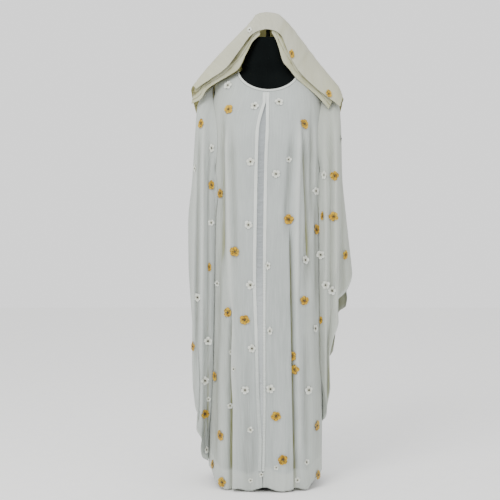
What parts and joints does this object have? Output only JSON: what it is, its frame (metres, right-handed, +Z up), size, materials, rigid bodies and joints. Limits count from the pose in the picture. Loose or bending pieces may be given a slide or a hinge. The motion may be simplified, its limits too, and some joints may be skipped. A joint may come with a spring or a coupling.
{
  "type": "kaftan with head veil on limbless dress form",
  "caption": "Floor-length chiffon kaftan with butterfly sleeves, sewn-on fabric flowers, two front bands and a matching head veil, worn by a plain dress form on a round base.",
  "frame": {"origin": "centre of the dress form base's underside, on the floor", "axes": "+Z up, -Y towards the front of the garment, -X towards the wearer's right"},
  "size_m": [0.5849, 0.3375, 1.6818],
  "materials": {
    "chiffon": "ivory crinkled chiffon, matt",
    "inset_cloth": "grey-lilac crinkled chiffon",
    "edging": "ivory satin edging",
    "veil_chiffon": "warm ivory chiffon, matt",
    "form_cover": "black jersey cover",
    "form_paint": "black satin paint"
  },
  "bodies": {
    "root": {"front_right": "chiffon", "front_left": "chiffon", "back": "chiffon", "centre_inset": "inset_cloth", "band_right": "edging", "band_left": "edging", "neck_binding": "edging", "sleeve_right": "chiffon", "sleeve_left": "chiffon", "veil": "veil_chiffon", "veil_under_right": "veil_chiffon", "veil_under_left": "veil_chiffon", "dress_form_torso": "form_cover", "dress_form_finial": "form_paint", "dress_form_pole": "form_paint", "dress_form_base": "form_paint"}
  },
  "joints": []
}
